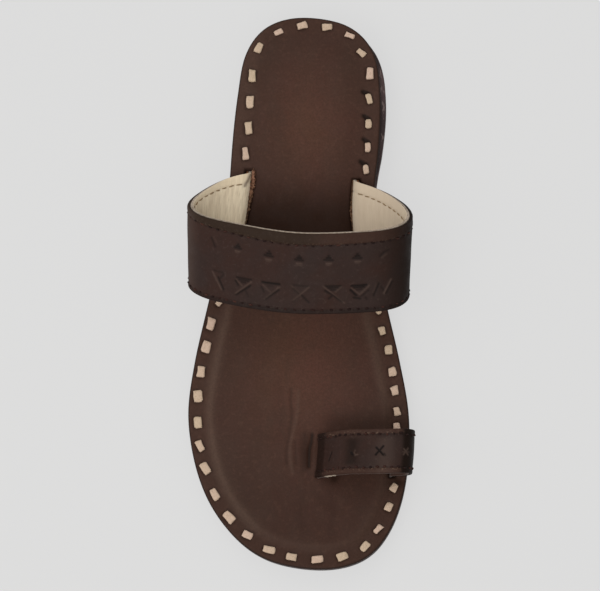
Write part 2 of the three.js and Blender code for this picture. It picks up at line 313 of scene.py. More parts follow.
# Creases and soft hollows in the footbed: points as x and along, then width, and height or depth
CREASES = [
    ([(-5.9, 191), (-6.3, 200), (-7.2, 206), (-8.8, 213), (-10.1, 219), (-9.9, 226), (-8.8, 232)], 1.3, 0.26),
    ([(-9.7, 190), (-9.9, 197), (-9.3, 203), (-10.9, 214), (-11.8, 220), (-11.8, 228)], 1.0, -0.26),
    ([(-7.6, 216), (-7.2, 228)], 0.8, -0.22),
    ([(-3.0, 213), (-3.0, 230)], 2.3, -0.24),
    ([(0.8, 213), (0.3, 217), (-0.7, 221), (-0.9, 229)], 1.1, -0.9),
    ([(-16, 186), (-14.5, 200), (-15.5, 216)], 3.0, -0.08),
    ([(2, 241), (6, 247), (13, 250)], 2.4, -0.1),
    ([(9, 243), (11, 251), (10, 262)], 3.0, -0.12),
    ([(-4, 240), (-5, 252), (-3, 262)], 3.4, -0.1),
    ([(30, 186), (36, 196), (39, 206)], 2.2, -0.1),
    ([(-27, 211), (-20, 214.5), (-12, 213)], 1.6, -0.07),
]


def line_way(u, v, u0, v0, u1, v1):
    """The distance from places to a short straight stroke."""
    du, dv = u1 - u0, v1 - v0
    t = np.clip(((u - u0) * du + (v - v0) * dv) / (du * du + dv * dv), 0, 1)
    return np.hypot(u - u0 - t * du, v - v0 - t * dv)


def way_to(points, x, along):
    """The distance from places to a line through points."""
    return np.minimum.reduce([line_way(x, along, *a, *b) for a, b in zip(points[:-1], points[1:])])


def fine_curve(points):
    """A soft line through a few points, in eight parts between each two."""
    p = np.array(points, float)
    padded = np.vstack([2 * p[0] - p[1], p, 2 * p[-1] - p[-2]])
    parts = np.arange(8) / 8
    out = [soft_step(*padded[i : i + 4], f) for i in range(len(p) - 1) for f in parts]
    return [tuple(q) for q in out] + [tuple(p[-1])]


def crease_height(x, along):
    height = np.zeros_like(x)
    for points, width, rise in CREASES:
        height += rise * hill(way_to(fine_curve(points), x, along), width * 1.4)
    return height


def waves(x, along):
    """Low, broad unevenness of worn leather."""
    height = 0.10 * np.sin(x / 7.3 + along / 19.0) * np.sin(along / 13.0 - x / 23.0)
    height += 0.06 * np.sin(x / 3.9 - along / 11.0 + 1.3) * np.sin(along / 7.7 + x / 9.0)
    return height


# Each open slot's strap and side, its depth, and the gap left at its front end
OPEN_SLOTS = [(INSTEP, -1, 2.6, SLOT_GAP), (INSTEP, 1, 2.6, SLOT_GAP), (RING, 1, 0.9, 0.0)]


def slot_depth(x, along):
    """How deep the open strap slots are at each place, and how near their edges it is."""
    depth = np.zeros_like(x)
    rim = np.zeros_like(x)
    for strap, side, deepest, spare in OPEN_SLOTS:
        start = strap["start"][0 if side < 0 else 1]
        inward = (slot_x(strap, side, along) - x) * side
        across = np.minimum(inward + SLOT_GAP, strap["wall"] + SLOT_GAP - inward)
        lengthways = np.minimum(along - start + SLOT_GAP, start + strap["width"] + spare - along)
        inside = np.minimum(across, lengthways)
        depth = np.maximum(depth, deepest * smooth(inside / 0.25 + 0.5))
        rim = np.maximum(rim, hill(inside, 0.95))
    return depth, rim


# Straps

def slot_x(strap, side, along):
    if strap is INSTEP:
        return edge_x(side, along) - side * strap["slot_margin"]
    return edge_x(1, along) - (strap["lateral_margin"] if side < 0 else strap["medial_margin"])


def bulge_x(strap, side, along, share):
    if strap is INSTEP:
        if side < 0:
            return -strap["lateral_bulge"] - strap["lateral_spread"] * share
        return strap["medial_bulge"] - strap["medial_taper"] * share
    return edge_x(1, along) + strap["overhang"]


def strap_controls(strap, share):
    """Control points of a strap's outer face at a share of its width from back to front."""
    crest_along = strap["crest_start"] + strap["crest_run"] * share
    back_top = insole_top(strap["crest_start"]) + strap["back_rise"]
    front_top = insole_top(strap["crest_start"] + strap["crest_run"]) + strap["front_rise"]
    crest_top = mix(back_top, front_top, share)
    starts = [start + strap["width"] * share for start in strap["start"]]
    xs = [slot_x(strap, side, along) for side, along in zip((-1, 1), starts)]
    crest_x = sum(xs) / 2
    legs = []
    for side, along, x, rows in zip((-1, 1), starts, xs, (strap["lateral"], strap["medial"])):
        base = insole_top(along)
        foot = outsole_top(along) + LAYER_GAP
        points = [(x, HEEL_BACK - along, z) for z in (foot, (foot + base) / 2, base)]
        for out, up in rows:
            reach = bulge_x(strap, side, along, share) - x if out > 0 else x - crest_x
            y = HEEL_BACK - mix(along, crest_along, up)
            points.append((x + out * reach, y, mix(base, crest_top, up)))
        legs.append(points)
    return np.array(legs[0] + [(crest_x, HEEL_BACK - crest_along, crest_top)] + legs[1][::-1])


def follow(points, t):
    """A soft curve that follows control points from the first to the last."""
    spans = len(points) + 1
    place = np.clip(t, 0, 1) * spans
    i = np.minimum(np.floor(place).astype(int), spans - 1)
    f = (place - i)[:, None]
    weights = [(1 - f) ** 3, 3 * f**3 - 6 * f * f + 4, -3 * f**3 + 3 * f * f + 3 * f + 1, f**3]
    rows = [points[np.clip(i + k - 2, 0, len(points) - 1)] for k in range(4)]
    return sum(w * r for w, r in zip(weights, rows)) / 6


class StrapFace:
    """The outer face of a strap, by the length around it from its crest and the width from its back."""

    def __init__(self, strap):
        self.strap = strap
        self.shares = np.linspace(-0.02, 1.02, 27)
        fine = np.linspace(0, 1, 1601)
        self.lines = np.array([follow(strap_controls(strap, share), fine) for share in self.shares])
        middle = self.lines[len(self.shares) // 2]
        steps = np.linalg.norm(np.diff(middle, axis=0), axis=1)
        self.length = np.concatenate([[0], np.cumsum(steps)])
        self.crest = self.length[np.argmax(middle[:, 2])]
        self.first = -self.crest
        self.last = self.length[-1] - self.crest

    def point(self, around, width):
        share = np.clip(width / self.strap["width"], self.shares[0], self.shares[-1])
        i = np.interp(around + self.crest, self.length, np.arange(len(self.length)))
        k = np.interp(share, self.shares, np.arange(len(self.shares)))
        i0 = np.minimum(i.astype(int), len(self.length) - 2)
        k0 = np.minimum(k.astype(int), len(self.shares) - 2)
        part_around, part_across = (i - i0)[..., None], (k - k0)[..., None]
        a, b = self.lines[k0, i0], self.lines[k0, i0 + 1]
        c, d = self.lines[k0 + 1, i0], self.lines[k0 + 1, i0 + 1]
        return mix(mix(a, b, part_around), mix(c, d, part_around), part_across)

    def frame(self, around, width):
        """Points, the directions around, and the directions out of the face."""
        step = 0.25
        ends = np.clip(around - step, self.first, None), np.clip(around + step, None, self.last)
        ahead = self.point(ends[1], width) - self.point(ends[0], width)
        across = self.point(around, width + step) - self.point(around, width - step)
        ahead /= np.linalg.norm(ahead, axis=-1, keepdims=True)
        out = np.cross(across, ahead)
        out /= np.linalg.norm(out, axis=-1, keepdims=True)
        return self.point(around, width), ahead, out


# Meshes

def make_object(name, points, faces, material, marks=None):
    """A smooth mesh object from points in millimetres, with one value per point for each mark."""
    mesh = bpy.data.meshes.new(name)
    mesh.from_pydata((np.asarray(points) * MM).tolist(), [], faces)
    for key, values in (marks or {}).items():
        layer = mesh.attributes.new(key, "FLOAT", "POINT")
        layer.data.foreach_set("value", np.asarray(values, np.float32))
    mesh.validate()
    mesh.shade_smooth()
    mesh.materials.append(material)
    obj = bpy.data.objects.new(name, mesh)
    bpy.context.scene.collection.objects.link(obj)
    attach(obj, "root")
    return obj


def strip(first, second, flip=False):
    """Faces between two closed rows of points."""
    count = len(first)
    faces = []
    for i in range(count):
        j = (i + 1) % count
        quad = (first[i], first[j], second[j], second[i])
        faces.append(quad[::-1] if flip else quad)
    return faces


def index_loops(count, loops, start=0):
    """The indices of points that lie in loops of equal length, one after another."""
    return [(np.arange(count) + start + count * k).tolist() for k in range(loops)]


def loop_tube(loops, flip=True):
    """Faces of a closed body whose sections are equal closed loops of point indices, one after another."""
    faces = []
    for a, b in zip(loops[:-1], loops[1:]):
        faces += strip(a, b, flip=flip)
    ends = (loops[0], loops[-1][::-1]) if flip else (loops[0][::-1], loops[-1])
    return faces + [tuple(end) for end in ends]


class Layer:
    """A sole layer's points: rings that move in from the edge, and rows across the middle."""

    def __init__(self, steps, insets, columns, edge=None):
        self.angle = np.linspace(0, 2 * np.pi, steps, endpoint=False)
        on_edge, _, inward = edge_frame(self.angle)
        grown = np.zeros(steps) if edge is None else edge(self.angle, HEEL_BACK - on_edge[:, 1])
        self.rings = [on_edge + inward * (inset - grown)[:, None] for inset in insets]
        place = place_of(self.angle)
        self.xy = np.vstack(self.rings)
        self.inset = np.repeat(insets, steps)
        self.place = np.tile(place, len(insets))
        self.ring_rows = [np.arange(steps) + steps * r for r in range(len(insets))]
        half = steps // 2
        inner = self.rings[-1]
        last_ring = self.ring_rows[-1]
        shares = (np.arange(1, columns) / columns)[:, None]
        rows = [[last_ring[0]] * (columns + 1)]
        start = len(self.xy)
        extra = []
        for i in range(1, half):
            extra.append(mix(inner[i], inner[steps - i], shares))
            first = start + (i - 1) * (columns - 1)
            rows.append([last_ring[i], *range(first, first + columns - 1), last_ring[steps - i]])
        rows.append([last_ring[half]] * (columns + 1))
        self.xy = np.vstack([self.xy, *extra])
        count = len(self.xy) - start
        self.inset = np.concatenate([self.inset, np.full(count, insets[-1] + 1.0)])
        self.place = np.concatenate([self.place, np.full(count, -1.0)])
        self.rows = rows

    @property
    def along(self):
        return HEEL_BACK - self.xy[:, 1]

    def faces(self, up, offset=0):
        found = []
        for a, b in zip(self.ring_rows[:-1], self.ring_rows[1:]):
            found += strip(a + offset, b + offset, flip=not up)
        for a, b in zip(self.rows[:-1], self.rows[1:]):
            for k in range(len(a) - 1):
                quad = [a[k], b[k], b[k + 1], a[k + 1]]
                face = [q + offset for n, q in enumerate(quad) if q != quad[n - 1]]
                if len(face) > 2:
                    found.append(tuple(face if up else face[::-1]))
        return found


def layer_body(top, top_z, bottom, bottom_z, sides=()):
    """A closed layer between two Layers with as many steps, and rows of points in between."""
    steps = len(top.angle)
    points = [np.column_stack([top.xy, top_z]), np.column_stack([bottom.xy, bottom_z])]
    offset = len(top.xy)
    faces = top.faces(True) + bottom.faces(False, offset)
    rows = [top.ring_rows[0]]
    start = offset + len(bottom.xy)
    for ring in sides:
        points.append(ring)
        rows.append(np.arange(steps) + start)
        start += steps
    rows.append(bottom.ring_rows[0] + offset)
    for a, b in zip(rows[:-1], rows[1:]):
        faces += strip(a, b, flip=True)
    return np.vstack(points), faces


# Materials

def tone(red, green, blue):
    """A colour given as it would be on a screen, 0 to 255, for a shader's socket."""
    screen = np.array([red, green, blue]) / 255
    light = np.where(screen <= 0.04045, screen / 12.92, ((screen + 0.055) / 1.055) ** 2.4)
    return (*light.tolist(), 1.0)


class Paint:
    """A material whose colour and relief are laid on one after another. Sizes are in millimetres."""

    def __init__(self, name, specular, roughness=0.5, sheen=0.0):
        self.material = bpy.data.materials.new(name)
        self.material.use_nodes = True
        self.tree = self.material.node_tree
        self.shader = self.tree.nodes["Principled BSDF"]
        self.shader.inputs["Roughness"].default_value = roughness
        self.shader.inputs["Specular IOR Level"].default_value = specular
        self.shader.inputs["Sheen Weight"].default_value = sheen
        self.place = self.node("ShaderNodeTexCoord").outputs["Object"]
        self.colour = None
        self.normal = None

    def node(self, kind, **settings):
        made = self.tree.nodes.new(kind)
        for key, value in settings.items():
            setattr(made, key, value)
        return made

    def put(self, socket, value):
        if isinstance(value, bpy.types.NodeSocket):
            self.tree.links.new(value, socket)
        else:
            socket.default_value = value

    def mark(self, name):
        """A value that the mesh carries at each point."""
        return self.node("ShaderNodeAttribute", attribute_name=name).outputs["Fac"]

    def times(self, a, b):
        made = self.node("ShaderNodeMath", operation="MULTIPLY")
        self.put(made.inputs[0], a)
        self.put(made.inputs[1], b)
        return made.outputs[0]

    def on_strap(self, across_scale=1.0):
        """The place around and across a strap, for patterns that follow it."""
        join = self.node("ShaderNodeCombineXYZ")
        self.put(join.inputs["X"], self.times(self.mark("around"), MM))
        self.put(join.inputs["Y"], self.times(self.mark("width"), across_scale * MM))
        return join.outputs["Vector"]

    def stretched(self, stretch):
        made = self.node("ShaderNodeMapping")
        self.put(made.inputs["Vector"], self.place)
        made.inputs["Scale"].default_value = [1 / s for s in stretch]
        return made.outputs["Vector"]

    def noise(self, size, detail=3.0, rough=0.5, place=None, bend=0.0):
        made = self.node("ShaderNodeTexNoise")
        self.put(made.inputs["Vector"], place or self.place)
        made.inputs["Scale"].default_value = 1 / (size * MM)
        made.inputs["Detail"].default_value = detail
        made.inputs["Roughness"].default_value = rough
        made.inputs["Distortion"].default_value = bend
        return made.outputs["Fac"]

    def pores(self, size):
        """Rounded cells like the pores of leather."""
        made = self.node("ShaderNodeTexVoronoi")
        self.put(made.inputs["Vector"], self.place)
        made.inputs["Scale"].default_value = 1 / (size * MM)
        return self.span(made.outputs["Distance"], 0.05, 0.5)

    def span(self, value, low, high, to=(0.0, 1.0)):
        made = self.node("ShaderNodeMapRange", interpolation_type="SMOOTHSTEP")
        self.put(made.inputs["Value"], value)
        made.inputs["From Min"].default_value = low
        made.inputs["From Max"].default_value = high
        made.inputs["To Min"].default_value = to[0]
        made.inputs["To Max"].default_value = to[1]
        return made.outputs["Result"]

    def blend(self, share, a, b):
        made = self.node("ShaderNodeMix", data_type="RGBA")
        self.put(made.inputs["Factor"], share)
        self.put(made.inputs[6], a)
        self.put(made.inputs[7], b)
        return made.outputs[2]

    def over(self, share, shade):
        """Lays a colour over what is there so far, by a share."""
        self.colour = self.blend(share, self.colour, shade)

    def bump(self, height, depth):
        """Adds relief of a depth in millimetres."""
        made = self.node("ShaderNodeBump")
        made.inputs["Strength"].default_value = 1.0
        made.inputs["Distance"].default_value = depth * MM
        self.put(made.inputs["Height"], height)
        if self.normal:
            self.put(made.inputs["Normal"], self.normal)
        self.normal = made.outputs["Normal"]

    def finish(self, roughness=None):
        self.put(self.shader.inputs["Base Color"], self.colour)
        if roughness is not None:
            self.put(self.shader.inputs["Roughness"], roughness)
        if self.normal:
            self.put(self.shader.inputs["Normal"], self.normal)
        return self.material


def footbed_leather():
    p = Paint("footbed_leather", specular=0.09)
    along_grain = p.stretched((1.0, 2.2, 1.0))
    mottle = p.noise(26, 3, 0.5, along_grain, 0.3)
    patches = p.noise(9, 4, 0.55, along_grain, 0.4)
    fine = p.noise(1.1, 5, 0.6)
    dull = p.blend(p.mark("worn"), tone(56, 39, 32), tone(74, 49, 38))
    red = p.blend(p.mark("worn"), tone(60, 39, 32), tone(77, 49, 40))
    p.colour = p.blend(p.span(mottle, 0.3, 0.7), dull, red)
    p.over(p.span(patches, 0.5, 0.74, (0.0, 0.45)), tone(61, 43, 35))
    p.over(p.times(p.mark("margin"), 0.7), tone(61, 41, 33))
    # Painted highlights on the padding's shoulder, the crests of creases and the lip beside the ring, and a
    # lighter lateral heel margin
    p.over(p.times(p.mark("pale"), 0.6), tone(88, 70, 60))
    p.over(p.span(fine, 0.35, 0.7, (0.0, 0.32)), tone(46, 32, 25))
    p.over(p.span(p.noise(2.4, 4, 0.6), 0.5, 0.72, (0.0, 0.16)), tone(92, 66, 54))
    # Painted shade under the instep strap and around the toe ring
    p.over(p.mark("painted_shade"), tone(31, 14, 4))
    # The dyed edge, and painted shade at the lace dents, the crease troughs and the slots' edges
    p.over(p.mark("dark"), tone(30, 19, 14))
    p.bump(p.noise(5.5, 3, 0.5, along_grain, 0.6), 0.2)
    p.bump(p.pores(0.9), 0.03)
    p.bump(fine, 0.05)
    return p.finish(p.span(p.noise(7, 4, 0.6), 0.3, 0.7, (0.5, 0.64)))


def raw_leather():
    """Torn, unstained leather at the edge of a cut."""
    p = Paint("raw_leather", specular=0.1, roughness=0.8)
    torn = p.noise(1.3, 4, 0.6)
    pale = p.blend(p.span(torn, 0.4, 0.62), tone(80, 54, 40), tone(136, 98, 78))
    dull = p.blend(p.span(torn, 0.4, 0.62), tone(36, 24, 17), tone(84, 68, 48))
    p.colour = p.blend(p.mark("raw"), dull, pale)
    p.bump(torn, 0.4)
    return p.finish()


def strap_leather():
    p = Paint("strap_leather", specular=0.08)
    follow_strap = p.on_strap()
    mottle = p.noise(26, 3, 0.5, follow_strap, 0.3)
    fine = p.noise(0.8, 5, 0.6)
    p.colour = p.blend(p.span(mottle, 0.38, 0.66), tone(45, 33, 30), tone(48, 31, 26))
    p.over(p.span(p.noise(5, 4, 0.6, follow_strap), 0.45, 0.75, (0.0, 0.35)), tone(40, 29, 25))
    p.over(p.mark("hem"), p.blend(p.mark("ruddy"), tone(43, 31, 23), tone(58, 39, 32)))
    p.over(p.times(p.mark("frayed"), p.span(p.noise(0.9, 2, 0.5), 0.56, 0.64)), tone(100, 80, 66))
    p.over(p.span(fine, 0.4, 0.7, (0.0, 0.3)), tone(32, 23, 19))
    p.over(p.span(p.noise(1.6, 4, 0.65), 0.55, 0.72, (0.0, 0.3)), tone(74, 60, 55))
    # Painted shade on the strap's side turned from the light, and on the toe ring's shaded ends and bend
    p.over(p.mark("turned"), tone(21, 11, 6))
    # Painted highlights: sheen on the strap's lateral side, the ring's crest, and the stamps' ridges, which
    # are partly real wear
    p.over(p.mark("pale"), tone(84, 68, 60))
    # Stamped strokes, darkened partly as pressed leather and partly with painted shade, and painted shade in
    # the seam grooves
    p.over(p.mark("dark"), tone(17, 11, 9))
    p.over(p.mark("raw"), tone(118, 74, 44))
    p.bump(p.noise(3.6, 3, 0.5, follow_strap, 0.5), 0.1)
    p.bump(p.pores(0.75), 0.03)
    p.bump(fine, 0.035)
    return p.finish(p.span(p.noise(5, 4, 0.6), 0.3, 0.7, (0.5, 0.66)))


def lining_leather():
    p = Paint("lining_leather", specular=0.15, sheen=0.1)
    streaks = p.noise(0.55, 4, 0.6, p.on_strap(0.09))
    wide_streaks = p.noise(2.6, 3, 0.5, p.on_strap(0.12))
    fine = p.noise(0.35, 4, 0.65)
    p.colour = p.blend(p.span(wide_streaks, 0.35, 0.68), tone(220, 206, 181), tone(206, 190, 165))
    p.over(p.span(streaks, 0.42, 0.7, (0.0, 0.5)), tone(172, 154, 128))
    p.over(p.times(p.mark("hem"), 0.6), tone(216, 199, 171))
    # Painted shade on the lining of the strap's medial side
    p.over(p.mark("medial"), tone(186, 169, 150))
    beads = p.blend(p.span(p.noise(1.0, 2, 0.5), 0.42, 0.6), tone(150, 136, 124), tone(104, 88, 78))
    p.over(p.times(p.mark("rim"), 0.8), beads)
    # The seam's last stitch, and painted shade on the lining's front edge and seam
    p.over(p.mark("dark"), tone(60, 40, 32))
    p.bump(streaks, 0.08)
    p.bump(fine, 0.05)
    return p.finish(p.span(fine, 0.3, 0.7, (0.68, 0.86)))


def lace_leather():
    p = Paint("lace_leather", specular=0.15)
    fibre = p.noise(0.5, 4, 0.6)
    p.colour = p.blend(p.mark("tone"), tone(179, 159, 136), tone(187, 162, 146))
    p.over(p.span(p.noise(1.3, 4, 0.6), 0.45, 0.75, (0.0, 0.55)), tone(156, 136, 114))
    p.over(p.span(fibre, 0.5, 0.72, (0.0, 0.35)), tone(136, 114, 94))
    p.over(p.mark("rim"), tone(96, 66, 44))
    p.bump(fibre, 0.1)
    p.bump(p.noise(1.8, 3, 0.5), 0.16)
    return p.finish(p.span(fibre, 0.3, 0.7, (0.6, 0.78)))


def thread():
    p = Paint("stitch_thread", specular=0.12, roughness=0.65)
    twist = p.noise(0.35, 3, 0.6)
    dark = p.blend(p.span(twist, 0.4, 0.65), tone(22, 11, 9), tone(38, 19, 15))
    light = p.blend(p.span(twist, 0.4, 0.65), tone(122, 102, 76), tone(150, 128, 98))
    p.colour = p.blend(p.mark("faded"), dark, tone(62, 36, 29))
    p.over(p.mark("inner"), light)
    p.bump(twist, 0.08)
    return p.finish()


def edge_leather(name, base, light, layer_size, scratched):
    """The cut and stained edges of stacked sole leather, with its plain underside."""
    p = Paint(name, specular=0.16)
    layered = p.noise(1.6, 4, 0.6, p.stretched((14.0, 14.0, layer_size)))
    wear = p.noise(9, 4, 0.6)
    fine = p.noise(0.7, 4, 0.6)
    scratches = p.noise(0.8, 3, 0.5, p.stretched((1.0, 5.0, 1.0)))
    p.colour = p.blend(p.span(layered, 0.4, 0.66), base, light)
    p.over(p.times(p.mark("under"), p.span(wear, 0.35, 0.7, (0.5, 1.0))), tone(104, 76, 56))
    p.over(p.span(fine, 0.45, 0.7, (0.0, 0.3)), tone(20, 14, 12))
    p.over(p.span(scratches, 0.56, 0.66, (0.0, scratched)), tone(128, 112, 108))
    p.over(p.mark("dark"), tone(14, 9, 8))
    p.bump(layered, 0.12)
    p.bump(fine, 0.06)
    return p.finish(p.span(wear, 0.3, 0.7, (0.4, 0.58)))


def floor_paper():
    p = Paint("floor_paper", specular=0.1, roughness=0.9)
    p.shader.inputs["Base Color"].default_value = tone(84, 84, 84)
    p.shader.inputs["Emission Color"].default_value = tone(205, 205, 205)
    p.shader.inputs["Emission Strength"].default_value = 1.0
    return p.material


# Sole pieces

def rounding(inset, radius):
    """How far a rounded edge falls at a distance in from it."""
    reach = np.clip(radius - inset, 0, radius)
    return radius - np.sqrt(radius * radius - reach * reach)


def footbed_base(along, inset):
    """The footbed's height without its creases and dents."""
    fore = smooth((along - FORE_START) / FORE_RUN)
    start = mix(HEEL_PAD_START, FORE_PAD_START, fore)
    full = mix(HEEL_PAD_FULL, FORE_PAD_FULL, fore)
    return insole_top(along) + PAD_RISE * smooth((inset - start) / (full - start))


def footbed():
    rim = 1.1
    steps = 960
    near_edge = [0.03, 0.15, 0.38, 0.7, rim]
    insets = np.concatenate([near_edge, np.arange(1.7, 15.1, 0.6), np.arange(15.9, 20.8, 0.95)])
    top = Layer(steps, insets, 118)
    bottom = Layer(steps, [0.35], 6)
    x, along = top.xy[:, 0], top.along
    fore = smooth((along - FORE_START) / FORE_RUN)
    dent, dark = lace_dents(top.place, np.where(top.place < 0, 99, top.inset))
    slots, slot_rim = slot_depth(x, along)
    inner = smooth((top.inset - 4) / 8)
    # The padding's shoulder fades around the toe
    faint = smooth((top.place - 285) / 26) * (1 - smooth((top.place - 425) / 30))
    shoulder = hill(top.inset - 10.8, 3.6) * fore * (1 - 0.65 * faint)
    # The leather between the folds beside the ring stands up a little
    tab = np.exp(-(((x - 2.4) / 2.6) ** 4)) * np.exp(-(((along - 221) / 11) ** 4))
    lip = hill(x - 1.9, 1.3) * smooth((along - 211) / 4) * (1 - smooth((along - 226) / 5))
    z = footbed_base(along, top.inset) - rounding(top.inset, rim) - dent
    z += inner * (crease_height(x, along) + waves(x, along)) + 0.16 * shoulder + 0.5 * tab + 0.2 * lip
    z -= 0.35 * slot_rim + slots
    pale, shade = crease_light_and_shade(x, along)
    # The lateral heel margin, outside the padding, is made a little lighter
    heel_margin_lighter = 0.3 * smooth((-x - 20) / 8) * (1 - smooth((along - 70) / 20)) * (1 - inner)
    on_edge = 0.9 * (1 - smooth(top.inset / 1.2))
    marks = {
        # The dyed edge, and painted shade in the lace dents, the crease troughs and along the slots' edges
        "dark": np.clip(dark + shade * inner + on_edge + 0.7 * slot_rim, 0, 1),
        # painted highlights, and the lighter lateral heel margin
        "pale": np.clip(0.8 * shoulder + pale * inner + 0.1 * lip + heel_margin_lighter, 0, 1),
        "margin": 1 - smooth((top.inset - 4) / 6),
        "worn": worn_places(x, along),
        "painted_shade": painted_shade_places(x, along),
    }
    edge = outline_at(top.angle)
    edge_top = insole_top(HEEL_BACK - edge[:, 1]) - rim
    edge_foot = outsole_top(HEEL_BACK - edge[:, 1]) + LAYER_GAP
    sides = [np.column_stack([edge, edge_top]), np.column_stack([edge, edge_foot + 0.5])]
    points, faces = layer_body(top, z, bottom, outsole_top(bottom.along) + LAYER_GAP, sides)
    hidden = len(points) - len(z)
    for key, values in marks.items():
        marks[key] = np.append(values, np.full(hidden, float(key == "dark")))
    made = make_object("footbed", points, faces, footbed_leather(), marks)
    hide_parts("insole")


# Raw leather pushed up along the inner edges of the instep strap's slots: along, the distance in from
# the slot, half the width, and how pale
LATERAL_LIP = [
    (79.9, 0.8, 0.3, 0.4),
    (82.0, 0.9, 1.0, 1.0),
    (87.0, 1.2, 1.1, 1.0),
    (90.5, 0.9, 1.2, 0.8),
    (96.0, 0.35, 1.2, 0.4),
    (101.0, 0.35, 0.9, 0.35),
    (105.0, 0.3, 0.5, 0.3),
    (114.0, 0.1, 0.25, 0.2),
]
MEDIAL_LIP = [
    (86.2, 0.2, 0.2, 0.3),
    (92.0, 0.2, 0.35, 0.3),
    (99.0, 0.3, 0.4, 0.3),
    (102.5, 0.4, 0.75, 0.45),
    (106.0, 0.3, 0.4, 0.3),
    (118.0, 0.15, 0.25, 0.2),
]


def slot_lips():
    """Ragged strips of raw leather along the slots' inner edges."""
    turn = np.linspace(0, 2 * np.pi, 12, endpoint=False)
    points = []
    faces = []
    raw = []
    for side, table in ((-1, LATERAL_LIP), (1, MEDIAL_LIP)):
        rows = np.array(table)
        along = np.arange(rows[0, 0], rows[-1, 0], 0.35)
        inward, half, pale = (np.interp(along, rows[:, 0], rows[:, k]) for k in (1, 2, 3))
        ragged = 1 + 0.24 * np.sin(along * 2.9 + side) + 0.2 * np.sin(along * 6.7)
        ragged += rng.uniform(-0.15, 0.15, len(along))
        x = slot_x(INSTEP, side, along) - side * (INSTEP["wall"] + inward)
        top = footbed_base(along, HEEL_PAD_FULL)
        start = len(points)
        for k in range(len(along)):
            reach = half[k] * ragged[k]
            for t in turn:
                lump = 1 + 0.2 * np.sin(3 * t + along[k] * 1.7)
                y = HEEL_BACK - along[k] + 0.3 * np.sin(2 * t + along[k])
                height = top[k] + 0.15 + 0.7 * reach * lump * np.sin(t)
                points.append((x[k] + reach * lump * np.cos(t), y, height))
            raw += [pale[k]] * len(turn)
        faces += loop_tube(index_loops(len(turn), len(along), start))
    make_object("slot_edges", points, faces, raw_leather(), {"raw": raw})


def worn_places(x, along):
    """Where a foot has worn the footbed lighter: under the heel and under the ball."""
    heel = hill(np.hypot((x + 1) / 29, (along - 59) / 45), 1.0)
    ball = hill(np.hypot((x + 5) / 40, (along - 180) / 52), 1.0)
    return np.clip(heel + ball, 0, 1)


def painted_shade_places(x, along):
    """Painted shade from the instep strap and the toe ring on the footbed, and a little darkening towards the
    toe.
    """
    under_strap = 0.78 * smooth((along - 80) / 27) * (1 - smooth((along - 126) / 22))
    behind_ring = 0.4 * smooth((x - 2) / 10) * hill(along - 208, 8.0)
    beside_ring = 0.46 * hill(x + 1.0, 7.0) * hill(along - 221, 13.0)
    before_ring = 0.8 * hill(np.hypot((x - 11.5) / 1.4, (along - 235.2) / 1.3), 2.8)
    lace_end = hill(np.hypot((x - 41.9) / 1.7, along - 237.4), 2.8)
    toe = 0.14 * smooth((along - 222) / 30)
    return np.clip(under_strap + behind_ring + beside_ring + before_ring + lace_end + toe, 0, 1)


def crease_light_and_shade(x, along):
    """Painted highlights on the crests of creases, and painted shade in their troughs."""
    pale = np.zeros_like(x)
    dark = np.zeros_like(x)
    for points, width, rise in CREASES:
        near = hill(way_to(fine_curve(points), x, along), width)
        if rise > 0:
            pale = np.maximum(pale, near * min(rise * 1.6, 1))
        else:
            dark = np.maximum(dark, near * min(-rise * 1.3, 1))
    return pale, dark


def outsole():
    rim = 0.9
    steps = 640
    insets = [0.05, 0.25, 0.55, rim]
    top = Layer(steps, insets, 24, flare_at)
    bottom = Layer(steps, insets, 24, flare_at)
    edge, _, inward = edge_frame(top.angle)
    along = HEEL_BACK - edge[:, 1]
    grown = flare_at(top.angle, along)
    foot = lift_at(along)
    sides = []
    dark = []
    low = rim / OUTSOLE_THICKNESS
    # A fine groove runs along the middle of the edge
    for share, inset in ((1 - low, 0), (0.6, 0), (0.54, 0.16), (0.48, 0), (low, 0)):
        ring = edge + inward * (inset - grown)[:, None]
        sides.append(np.column_stack([ring, foot + OUTSOLE_THICKNESS * share]))
        dark.append(np.full(steps, 0.8 if inset else 0.0))
    z = outsole_top(top.along) - rounding(top.inset, rim)
    points, faces = layer_body(top, z, bottom, lift_at(bottom.along) + rounding(bottom.inset, rim), sides)
    below = smooth((bottom.inset - 0.4) / 0.6)
    marks = {
        "dark": np.concatenate([np.zeros(len(top.xy) + len(bottom.xy)), *dark]),
        "under": np.concatenate([np.zeros(len(top.xy)), below, np.zeros(steps * len(sides))]),
    }
    paint = edge_leather("outsole_leather", tone(50, 38, 38), tone(74, 58, 58), 0.8, 0.5)
    made = make_object("sole_leather", points, faces, paint, marks)
    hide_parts("outsole")


def heel_loop(inset):
    """The heel's outline at a distance in from its sides and its straight breast."""
    angle = np.linspace(0, np.arccos(1 - 2 * (HEEL_LENGTH - inset) / SOLE_LENGTH), 110)
    halves = []
    for turn in (angle, 2 * np.pi - angle[::-1]):
        edge, _, inward = edge_frame(turn)
        halves.append(edge + inward * (inset - flare_at(turn, HEEL_BACK - edge[:, 1]))[:, None])
    halves[0][-1, 1] = halves[1][0, 1] = HEEL_BACK - HEEL_LENGTH + inset
    breast = mix(halves[0][-1], halves[1][0], np.linspace(0, 1, 42)[1:-1, None])
    return np.vstack([halves[0], breast, halves[1][:-1]])


